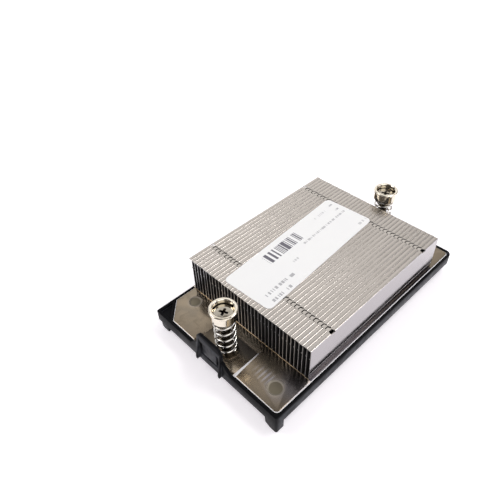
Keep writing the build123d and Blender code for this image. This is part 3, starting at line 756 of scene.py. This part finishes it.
def make_fin_row_tree():
    """Tree that sets fins side by side, each with its own small slide, lean and flange tilt."""
    tree, given, result = geometry_tree(
        "fin_rows",
        Object=("Fin", "End Fin"),
        Int=("Count", "Seed"),
        Vector=("First Fin",),
        Float=(
            "Pitch", "Slide", "Lean", "Flange Tilt", "Wave", "Wave Scale",
            "Channel Top", "Outer Side", "Open Side",
        ),
        Material=("Finish",),
    )
    step = vector_of(tree, x=product(tree, given["Pitch"], -1.0))
    line_inputs = {"Count": given["Count"], "Start Location": given["First Fin"], "Offset": step}
    line = add(tree, "GeometryNodeMeshLine", line_inputs, mode="OFFSET").outputs[0]
    seed = given["Seed"]
    slide = random_share(tree, math_node(tree, "ADD", seed, 1.0), -1.0)
    lean = random_share(tree, math_node(tree, "ADD", seed, 2.0), -1.0)
    leant = vector_of(tree, y=product(tree, lean, given["Lean"]))
    slid = moved(tree, line, Offset=vector_of(tree, y=product(tree, slide, given["Slide"])))
    points = stored(tree, slid, "fin_share", random_share(tree, seed, 0.0), "POINT")
    index = add(tree, "GeometryNodeInputIndex").outputs[0]
    last = math_node(tree, "SUBTRACT", given["Count"], 1.0)
    is_last = add(tree, "FunctionNodeCompare", {0: index, 1: last}, data_type="FLOAT", operation="EQUAL")
    not_last = add(tree, "FunctionNodeBooleanMath", {0: is_last.outputs[0]}, operation="NOT")
    joined = tree.nodes.new("GeometryNodeJoinGeometry")
    for socket, chosen in (("Fin", not_last), ("End Fin", is_last)):
        shown = add(tree, "GeometryNodeObjectInfo", {"Object": given[socket], "As Instance": True})
        inputs = {
            "Points": points,
            "Selection": chosen.outputs[0],
            "Instance": shown.outputs["Geometry"],
            "Rotation": leant,
        }
        row = add(tree, "GeometryNodeInstanceOnPoints", inputs)
        tree.links.new(row.outputs[0], joined.inputs[0])
    real = add(tree, "GeometryNodeRealizeInstances", {0: joined.outputs[0]}).outputs[0]
    centred = math_node(tree, "SUBTRACT", read_back(tree, "fin_share"), 0.5)
    tilt = product(tree, centred, read_back(tree, "flange"), given["Flange Tilt"])
    place = add(tree, "GeometryNodeInputPosition").outputs[0]
    noise_inputs = {"Vector": place, "Scale": given["Wave Scale"], "Detail": 1.0}
    noise = add(tree, "ShaderNodeTexNoise", noise_inputs).outputs["Fac"]
    wave = product(tree, math_node(tree, "SUBTRACT", noise, 0.5), given["Wave"])
    bent = moved(tree, real, Offset=vector_of(tree, x=wave, z=tilt))
    in_channel, on_cut = channel_share(tree, given)
    lined = stored(tree, bent, "channel", in_channel, "FACE")
    dressed(tree, stored(tree, lined, "cut_end", on_cut, "FACE"), given["Finish"], result)
    return tree


def make_coil_tree():
    """Tree that winds a wire: closed turns at both ends, open turns between, ends ground flat."""
    tree, given, result = geometry_tree(
        "wound_coil",
        Vector=("Centre",),
        Int=("Wire Sides", "Steps"),
        Float=(
            "Coil Radius", "Wire Radius", "Closed Turns", "Closed Pitch", "Open Turns", "Open Pitch",
            "Low Cut", "High Cut", "End Taper",
        ),
        Material=("Finish",),
    )
    line = add(tree, "GeometryNodeMeshLine", {"Count": given["Steps"]}, mode="OFFSET").outputs[0]
    index = add(tree, "GeometryNodeInputIndex").outputs[0]
    share = math_node(tree, "DIVIDE", index, math_node(tree, "SUBTRACT", given["Steps"], 1.0))
    turns = math_node(tree, "ADD", product(tree, given["Closed Turns"], 2.0), given["Open Turns"])
    turn = product(tree, share, turns)
    angle = product(tree, turn, 2 * math.pi)
    open_turn = math_node(tree, "SUBTRACT", turn, given["Closed Turns"])
    open_part = math_node(tree, "MINIMUM", math_node(tree, "MAXIMUM", open_turn, 0.0), given["Open Turns"])
    rise_closed = product(tree, math_node(tree, "SUBTRACT", turn, open_part), given["Closed Pitch"])
    rise = math_node(tree, "MULTIPLY_ADD", open_part, given["Open Pitch"], rise_closed)
    across = product(tree, math_node(tree, "COSINE", angle), given["Coil Radius"])
    along = product(tree, math_node(tree, "SINE", angle), given["Coil Radius"])
    spots = {0: vector_of(tree, across, along, rise), 1: given["Centre"]}
    placed = add(tree, "ShaderNodeVectorMath", spots, operation="ADD").outputs[0]
    path = add(tree, "GeometryNodeMeshToCurve", {"Mesh": moved(tree, line, Position=placed)}).outputs[0]
    upright = add(tree, "GeometryNodeSetCurveNormal", {"Curve": path}, mode="Z_UP").outputs[0]
    from_end = math_node(tree, "MINIMUM", turn, math_node(tree, "SUBTRACT", turns, turn))
    taper = math_node(tree, "DIVIDE", from_end, math_node(tree, "MAXIMUM", given["End Taper"], 0.001))
    width = math_node(tree, "MAXIMUM", math_node(tree, "MINIMUM", taper, 1.0), 0.12)
    ring_inputs = {"Resolution": given["Wire Sides"], "Radius": given["Wire Radius"]}
    ring = add(tree, "GeometryNodeCurvePrimitiveCircle", ring_inputs, mode="RADIUS").outputs[0]
    wire_inputs = {"Curve": upright, "Profile Curve": ring, "Scale": width, "Fill Caps": True}
    wire = add(tree, "GeometryNodeCurveToMesh", wire_inputs).outputs[0]
    place = parts_of(tree, add(tree, "GeometryNodeInputPosition").outputs[0])
    above = math_node(tree, "MAXIMUM", place["Z"], given["Low Cut"])
    kept = math_node(tree, "MINIMUM", above, given["High Cut"])
    ground = moved(tree, wire, Position=vector_of(tree, place["X"], place["Y"], kept))
    real = add(tree, "GeometryNodeRealizeInstances", {0: ground}).outputs[0]
    dressed(tree, real, given["Finish"], result)
    return tree


def fin_section():
    """Section of a fin from the tip of its lower flange to the tip of its upper one.

    Each row is its place across and up from the foot of the web, and its share along the upper flange.
    """
    rows = [(-FLANGE_REACH, 0.0, 0.0), (-1.1, 0.0, 0.0)]
    for step in range(5):
        angle = math.radians(-90 + 90 * step / 4)
        rows.append((-FIN_BEND + FIN_BEND * math.cos(angle), FIN_BEND + FIN_BEND * math.sin(angle), 0.0))
    for height in (5.0, 9.5, 14.0, FIN_HEIGHT - LOCK_DEPTH):
        rows.append((0.0, height, 0.0))
    for step in range(6):
        angle = math.radians(90 * step / 5)
        across = -FIN_BEND + FIN_BEND * math.cos(angle)
        rows.append((across, FIN_HEIGHT - FIN_BEND + FIN_BEND * math.sin(angle), -across / FLANGE_REACH))
    for across in (-0.95, -LOCK_TIP, -FLANGE_REACH):
        rows.append((across, FIN_HEIGHT, -across / FLANGE_REACH))
    return rows


def fin_stations(notch_half, inner, shift):
    """Places along a fin, with four round each lock: the notch's two ends and the tongue's two sides."""
    first, last = LOCK_PLACES
    around = (-notch_half, shift - inner, shift + inner, notch_half)
    places = [0.0, 3.0, 7.0]
    places += [first + offset for offset in around]
    places += [first + (last - first) * step / 8 for step in range(1, 8)]
    places += [last + offset for offset in around]
    return places + [FIN_LENGTH - 6.0, FIN_LENGTH - 3.0, FIN_LENGTH]


def fin_grid(shape, flange, rows, notch_low, notch_high):
    """Points of the folded sheet, row by row, with each one's share along the flange."""
    grid = []
    for number, (across, up, share) in enumerate(rows):
        half = LOCK_HALF_WIDTH
        if notch_low <= number <= notch_high:
            half += (LOCK_TIP_HALF_WIDTH - LOCK_HALF_WIDTH) * (-across / LOCK_TIP)
        at_tip = number == len(rows) - 1
        places = fin_stations(half, TONGUE_HALF_WIDTH if at_tip else 0.5 * half, TONGUE_SHIFT * at_tip)
        line = []
        for place in places:
            vert = shape.verts.new((across * MM, place * MM, up * MM))
            vert[flange] = share
            line.append(vert)
        grid.append(line)
    return grid


def add_tongues(shape, flange, tip_row):
    """Tongues that reach from the flange's tip into the next fin's notches."""
    middle_half = (TONGUE_HALF_WIDTH + TONGUE_TIP_HALF_WIDTH) / 2
    for start, place in zip(LOCK_STARTS, LOCK_PLACES):
        edge = [tip_row[start + 1], tip_row[start + 2]]
        for reach, half, drop_by in (
            (0.45, middle_half, 0.03),
            (TONGUE_REACH, TONGUE_TIP_HALF_WIDTH, TONGUE_DROP),
        ):
            ends = []
            for side in (-1, 1):
                vert = shape.verts.new((
                    (-FLANGE_REACH - reach) * MM,
                    (place + TONGUE_SHIFT + side * half) * MM,
                    (FIN_HEIGHT - drop_by) * MM,
                ))
                vert[flange] = 1.0
                ends.append(vert)
            shape.faces.new((edge[0], ends[0], ends[1], edge[1]))
            edge = ends


def add_end_catches(shape):
    """Small raised catches at both ends of a fin."""
    for end in (0.02, FIN_LENGTH - 0.02):
        corners = []
        for across, up in ((-0.2, -0.3), (-0.75, -0.2), (-0.75, 0.2), (-0.2, 0.3)):
            corners.append(shape.verts.new((across * MM, end * MM, (CATCH_HEIGHT + up) * MM)))
        face = shape.faces.new(corners)
        face.normal_update()
        if (face.normal.y > 0) != (end > 1.0):
            face.normal_flip()


def make_fin_sheet(name, with_tongues):
    """One fin as a folded sheet with its lock notches, its tongues and the small catches at its ends."""
    shape = bmesh.new()
    flange = shape.verts.layers.float.new("flange")
    rows = fin_section()
    lock_foot = FIN_HEIGHT - LOCK_DEPTH - 0.01
    notch_low = next(i for i, row in enumerate(rows) if row[0] == 0.0 and row[1] > lock_foot)
    notch_high = next(i for i, row in enumerate(rows) if row[0] == -LOCK_TIP)
    grid = fin_grid(shape, flange, rows, notch_low, notch_high)
    for number, (here, there) in enumerate(zip(grid, grid[1:])):
        for station in range(len(here) - 1):
            in_lock = any(start <= station < start + 3 for start in LOCK_STARTS)
            if not (in_lock and notch_low <= number < notch_high):
                shape.faces.new((here[station], there[station], there[station + 1], here[station + 1]))
    if with_tongues:
        add_tongues(shape, flange, grid[-1])
    add_end_catches(shape)
    shape.faces.ensure_lookup_table()
    bmesh.ops.delete(shape, geom=[v for v in shape.verts if not v.link_faces], context="VERTS")
    shape.normal_update()
    web = next(f for f in shape.faces if abs(f.normal.x) > 0.9)
    if web.normal.x < 0:
        for face in shape.faces:
            if abs(face.normal.y) < 0.9:
                face.normal_flip()
    maker = new_object(name, mesh_from(name, shape))
    sheet = maker.modifiers.new("sheet", "SOLIDIFY")
    sheet.thickness = FIN_SHEET * MM
    sheet.offset = -1.0
    sheet.use_even_offset = True
    return maker


def make_fin_stack():
    """Whole stack of fins from two master fins, the end one without tongues."""
    fin = make_fin_sheet("fin_master", True)
    end_fin = make_fin_sheet("end_fin_master", False)
    values = {
        "Fin": fin,
        "End Fin": end_fin,
        "Count": FIN_COUNT,
        "Pitch": FIN_PITCH * MM,
        "First Fin": (FIN_RIGHT * MM, FIN_FRONT * MM, PLATE_TOP * MM),
        "Slide": 0.12 * MM,
        "Lean": math.radians(0.06),
        "Flange Tilt": 0.05 * MM,
        "Wave": 0.02 * MM,
        "Wave Scale": 20.0,
        "Channel Top": (FIN_TOP - 0.5) * MM,
        "Outer Side": (FIN_RIGHT - 0.15) * MM,
        "Open Side": (FIN_RIGHT - (FIN_COUNT - 1) * FIN_PITCH - FIN_SHEET / 2) * MM,
        "Seed": 4,
    }
    stack = grown(make_fin_row_tree(), "fin_stack", values, FIN_METAL, 40.0)
    drop(fin)
    drop(end_fin)
    deliver(stack, "heatsink", "fin_metal", *[f"fin_{number:02d}" for number in range(1, FIN_COUNT + 1)])


def label_stations():
    """Places along the label, close together where its corners are round."""
    half = LABEL_LENGTH / 2
    places = [-half + LABEL_CORNER * (1 - math.cos(math.radians(90 * step / 8))) for step in range(9)]
    straight = LABEL_LENGTH - 2 * LABEL_CORNER
    places += [-half + LABEL_CORNER + straight * step / 48 for step in range(1, 48)]
    return places + [-place for place in reversed(places[:9])]


def make_label():
    """Label stuck over the fins: rounded corners, faint imprint of the fin seams, thin edge."""
    shape = bmesh.new()
    columns = 96
    turn = math.radians(LABEL_TILT)
    grid = []
    for station in label_stations():
        past_end = LABEL_CORNER - min(LABEL_LENGTH / 2 - abs(station), LABEL_CORNER)
        narrowing = LABEL_CORNER - math.sqrt(max(LABEL_CORNER ** 2 - past_end ** 2, 0.0))
        line = []
        for column in range(columns + 1):
            across = (2 * column / columns - 1) * (LABEL_WIDTH / 2 - narrowing)
            x = LABEL_CENTRE[0] + across * math.cos(turn) - station * math.sin(turn)
            y = LABEL_CENTRE[1] + across * math.sin(turn) + station * math.cos(turn)
            beat = ((FIN_RIGHT - x) / FIN_PITCH) % 1.0
            seam = math.exp(-((min(beat, 1 - beat) * FIN_PITCH) / SEAM_WIDTH) ** 2)
            top = FIN_TOP + LABEL_THICKNESS - LABEL_IMPRINT * seam
            line.append(shape.verts.new((x * MM, y * MM, top * MM)))
        grid.append(line)
    for here, there in zip(grid, grid[1:]):
        for column in range(columns):
            shape.faces.new((here[column], here[column + 1], there[column + 1], there[column]))
    maker = new_object("label_maker", mesh_from("label", shape))
    sheet = maker.modifiers.new("sheet", "SOLIDIFY")
    sheet.thickness = (LABEL_THICKNESS - LABEL_IMPRINT) * MM
    sheet.offset = -1.0
    label = settled(maker, "label_sheet", LABEL_FILM, 40.0)
    deliver(label, "heatsink", "label_film", "paper_label")


def make_cup(end):
    """Turned cup with a lipped rim, a bore for the screw's head and a sleeve inside the spring."""
    corners = (
        (SHANK_BORE, SCREW_SEAT, 0.1),
        (CUP_BORE, SCREW_SEAT, 0.2),
        (CUP_BORE, CUP_TOP - 0.28, 0.08),
        (CUP_BORE + 0.28, CUP_TOP, 0.12),
        (CUP_RIM, CUP_TOP, 0.42),
        (CUP_RIM, CUP_TOP - 1.1, 0.25),
        (CUP_WALL, CUP_TOP - 1.35, 0.12),
        (CUP_WALL, CUP_UNDERSIDE, 0.4),
        (SLEEVE_OUTER, CUP_UNDERSIDE, 0.1),
        (SLEEVE_OUTER, CUP_UNDERSIDE - 3.0, 0.18),
        (SHANK_BORE, CUP_UNDERSIDE - 3.0, 0.12),
    )
    shape = turned_shape(rounded_profile(corners), SCREW_Y[end], 112)
    mesh = mesh_from(f"cup_{end}", shape)
    mesh.materials.append(SCREW_NICKEL)
    soften(mesh, 35.0)
    cup = new_object(f"cup_{end}", mesh)
    deliver(cup, f"{end}_cup", "screw_nickel", f"spring_cup_{end}")


def make_cross_cutter(end):
    """Tapered cross with a broken upper edge, which is cut out of the screw's head."""
    shape = bmesh.new()
    levels = (
        (SCREW_TOP + 0.2, 0.26, 0.1),
        (SCREW_TOP - 0.02, 0.08, 0.06),
        (SCREW_TOP - 0.12, 0.0, 0.0),
        (SCREW_TOP - CROSS_DEPTH, -0.75, -0.2),
    )
    rings = []
    for height, longer, wider in levels:
        span_half = CROSS_HALF_SPAN + longer
        arm = CROSS_HALF_ARM + wider
        ring = []
        for quarter in range(4):
            turn = math.radians(CROSS_TURN + 90 * quarter)
            for across, along in (
                (arm + 0.18, arm),
                (span_half - 0.14, arm),
                (span_half, arm * 0.55),
                (span_half, -arm * 0.55),
                (span_half - 0.14, -arm),
                (arm + 0.18, -arm),
            )[::-1]:
                x = across * math.cos(turn) - along * math.sin(turn)
                y = across * math.sin(turn) + along * math.cos(turn) + SCREW_Y[end]
                ring.append(shape.verts.new((x * MM, y * MM, height * MM)))
        rings.append(ring)
    count = len(rings[0])
    for upper, lower in zip(rings, rings[1:]):
        for number in range(count):
            after = (number + 1) % count
            shape.faces.new((upper[number], upper[after], lower[after], lower[number]))
    shape.faces.new(rings[0])
    shape.faces.new(rings[-1])
    bmesh.ops.recalc_face_normals(shape, faces=shape.faces)
    return new_object(f"cross_cutter_{end}", mesh_from("cross_cutter", shape))


def make_screw(end):
    """Captive screw: flat head with a cross recess, shank, ring groove and core of the thread."""
    corners = (
        (0.0, SCREW_TOP, 0.0),
        (SCREW_HEAD - 0.1, SCREW_TOP, 0.22),
        (SCREW_HEAD, SCREW_SEAT, 0.1),
        (SHANK, SCREW_SEAT, 0.08),
        (SHANK, GROOVE_HIGH, 0.08),
        (GROOVE, GROOVE_HIGH, 0.05),
        (GROOVE, GROOVE_LOW, 0.05),
        (THREAD_CORE + 0.12, GROOVE_LOW, 0.05),
        (THREAD_CORE, THREAD_TOP, 0.0),
        (THREAD_CORE, SCREW_TIP + 0.35, 0.1),
        (THREAD_CORE - 0.4, SCREW_TIP, 0.1),
        (0.0, SCREW_TIP, 0.0),
    )
    shape = turned_shape(rounded_profile(corners), SCREW_Y[end], 96)
    maker = new_object(f"screw_maker_{end}", mesh_from(f"screw_{end}", shape))
    cutter = make_cross_cutter(end)
    recess = maker.modifiers.new("recess", "BOOLEAN")
    recess.operation = "DIFFERENCE"
    recess.solver = "EXACT"
    recess.object = cutter
    screw = settled(maker, f"screw_{end}", SCREW_NICKEL, 30.0)
    drop(cutter)
    deliver(screw, f"{end}_screw", "screw_nickel", f"captive_screw_{end}")


def make_spring(tree, end):
    """Spring under a cup, wound between the plate and the cup's underside."""
    y = SCREW_Y[end]
    low = SPRING_BASE + SPRING_WIRE * SPRING_FLAT
    rise = CUP_UNDERSIDE - SPRING_WIRE * SPRING_FLAT - low
    open_pitch = (rise - 2 * SPRING_CLOSED_TURNS * SPRING_CLOSED_PITCH) / SPRING_ACTIVE_TURNS
    values = {
        "Centre": (0.0, y * MM, low * MM),
        "Coil Radius": SPRING_RADIUS * MM,
        "Wire Radius": SPRING_WIRE * MM,
        "Wire Sides": 18,
        "Closed Turns": SPRING_CLOSED_TURNS,
        "Closed Pitch": SPRING_CLOSED_PITCH * MM,
        "Open Turns": SPRING_ACTIVE_TURNS,
        "Open Pitch": open_pitch * MM,
        "Steps": 420,
        "Low Cut": (SPRING_BASE + 0.05) * MM,
        "High Cut": CUP_UNDERSIDE * MM,
        "End Taper": 0.0,
    }
    spring = grown(tree, f"coil_spring_{end}", values, SPRING_STEEL, 50.0)
    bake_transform(spring)
    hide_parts(f"spring_{end}")


def make_thread(tree, end):
    """Ridges of a screw's thread."""
    values = {
        "Centre": (0.0, SCREW_Y[end] * MM, (SCREW_TIP + 0.3) * MM),
        "Coil Radius": (THREAD_CORE - 0.02) * MM,
        "Wire Radius": THREAD_RIDGE * 0.9 * MM,
        "Wire Sides": 4,
        "Closed Turns": 0.0,
        "Closed Pitch": THREAD_PITCH * MM,
        "Open Turns": THREAD_TURNS,
        "Open Pitch": THREAD_PITCH * MM,
        "Steps": 260,
        "Low Cut": SCREW_TIP * MM,
        "High Cut": THREAD_TOP * MM,
        "End Taper": 0.4,
    }
    thread = grown(tree, f"thread_{end}", values, SCREW_NICKEL, 30.0)
    deliver(thread, f"{end}_screw", "screw_nickel")


def make_rounded_parts():
    """Plate, block, moulded frame and retaining rings with their edges rounded."""
    plate = rounded_copy("base_plate", "spreader_plate", PLATE_NICKEL, 0.16, 3, 20.0)
    deliver(plate, "heatsink", "plate_nickel", "base_plate")
    block = rounded_copy("contact_block", "pedestal", PLATE_NICKEL, 0.15, 2)
    deliver(block, "heatsink", "plate_nickel", "contact_block")
    moulding = rounded_copy("retention_frame", "moulded_frame", FRAME_PLASTIC, 0.22, 3)
    deliver(moulding, "heatsink", "frame_plastic", "retention_frame")
    for end in SCREW_Y:
        ring = rounded_copy(f"retaining_ring_{end}", f"clip_{end}", SPRING_STEEL, 0.1, 2)
        deliver(ring, f"{end}_screw", "spring_steel", f"retaining_ring_{end}")


def make_floor():
    """Plain white floor that keeps the object's shadow."""
    material, tree, shader, _ = new_material("floor_white")
    shader.inputs["Base Color"].default_value = (0.84, 0.84, 0.85, 1.0)
    shader.inputs["Roughness"].default_value = 0.75
    shader.inputs["Specular IOR Level"].default_value = 0.2
    path = add(tree, "ShaderNodeLightPath")
    looked_at = math_node(tree, "MAXIMUM", path.outputs["Is Camera Ray"], path.outputs["Is Glossy Ray"])
    seen = math_node(tree, "MAXIMUM", looked_at, path.outputs["Is Transmission Ray"])
    shader.inputs["Emission Strength"].default_value = 1.0
    feed(tree, shader, {"Emission Color": mix_colours(tree, seen, (0.0, 0.0, 0.0), (0.45, 0.43, 0.46))})
    shape = bmesh.new()
    bmesh.ops.create_grid(shape, x_segments=8, y_segments=8, size=3.0)
    bmesh.ops.translate(shape, verts=shape.verts, vec=(0.0, 0.0, FLOOR * MM))
    mesh = mesh_from("floor", shape)
    mesh.materials.append(material)
    new_object("floor", mesh)


def make_lamp(name, place, size, strength, colour):
    """Soft flat lamp that looks at the object."""
    data = bpy.data.lights.new(name, "AREA")
    data.shape = "RECTANGLE"
    data.size = size[0]
    data.size_y = size[1]
    data.energy = strength * math.pi * size[0] * size[1]
    data.color = colour
    lamp = bpy.data.objects.new(name, data)
    lamp.location = place
    lamp.rotation_mode = "QUATERNION"
    lamp.rotation_quaternion = (-Vector(place)).to_track_quat("-Z", "Y")
    bpy.context.scene.collection.objects.link(lamp)


def make_light():
    """White horizon, dim warm room overhead with its lighter and darker patches, and soft lamps."""
    world = bpy.data.worlds.new("studio")
    bpy.context.scene.world = world
    world.use_nodes = True
    tree = world.node_tree
    direction = add(tree, "ShaderNodeTexCoord").outputs["Generated"]
    ramp = add(tree, "ShaderNodeValToRGB", {0: parts_of(tree, direction)["Z"]})
    ramp.color_ramp.interpolation = "EASE"
    stops = ramp.color_ramp.elements
    for number, (height, colour) in enumerate(ROOM_STEPS):
        stop = stops[number] if number < 2 else stops.new(height)
        stop.position = height
        stop.color = (*colour, 1.0)
    lit = ramp.outputs["Color"]
    seen = add(tree, "ShaderNodeLightPath").outputs["Is Camera Ray"]
    for toward, full, end, colour in ROOM_PATCHES:
        vectors = {0: direction, 1: Vector(toward).normalized()}
        facing = add(tree, "ShaderNodeVectorMath", vectors, operation="DOT_PRODUCT").outputs["Value"]
        share = span(tree, facing, math.cos(math.radians(end)), math.cos(math.radians(full)))
        lit = mix_colours(tree, share, lit, colour)
    feed(tree, tree.nodes["Background"], {"Color": mix_colours(tree, seen, lit, (1.0, 1.0, 1.0))})
    for lamp in LAMPS:
        make_lamp(*lamp)


def make_camera():
    """Camera at the photograph's place and angle."""
    azimuth = math.radians(CAMERA_AZIMUTH)
    elevation = math.radians(CAMERA_ELEVATION)
    roll = math.radians(CAMERA_ROLL)
    ahead = Vector((
        -math.sin(azimuth) * math.cos(elevation),
        math.cos(azimuth) * math.cos(elevation),
        -math.sin(elevation),
    ))
    level = ahead.cross(Vector((0.0, 0.0, 1.0))).normalized()
    upright = level.cross(ahead)
    right = math.cos(roll) * level + math.sin(roll) * upright
    top = math.cos(roll) * upright - math.sin(roll) * level
    data = bpy.data.cameras.new("camera")
    data.lens = CAMERA_LENS
    data.sensor_width = CAMERA_SENSOR
    data.clip_start = 0.01
    camera = bpy.data.objects.new("camera", data)
    camera.matrix_world = Matrix((right, top, -ahead)).transposed().to_4x4()
    camera.location = CAMERA_PLACE
    bpy.context.scene.collection.objects.link(camera)
    bpy.context.scene.camera = camera


make_rounded_parts()
make_fin_stack()
make_label()
for screw_end in SCREW_Y:
    make_cup(screw_end)
    make_screw(screw_end)
coil_tree = make_coil_tree()
for screw_end in SCREW_Y:
    make_spring(coil_tree, screw_end)
    make_thread(coil_tree, screw_end)
make_floor()
make_light()
make_camera()
bpy.context.scene.view_settings.view_transform = "Standard"
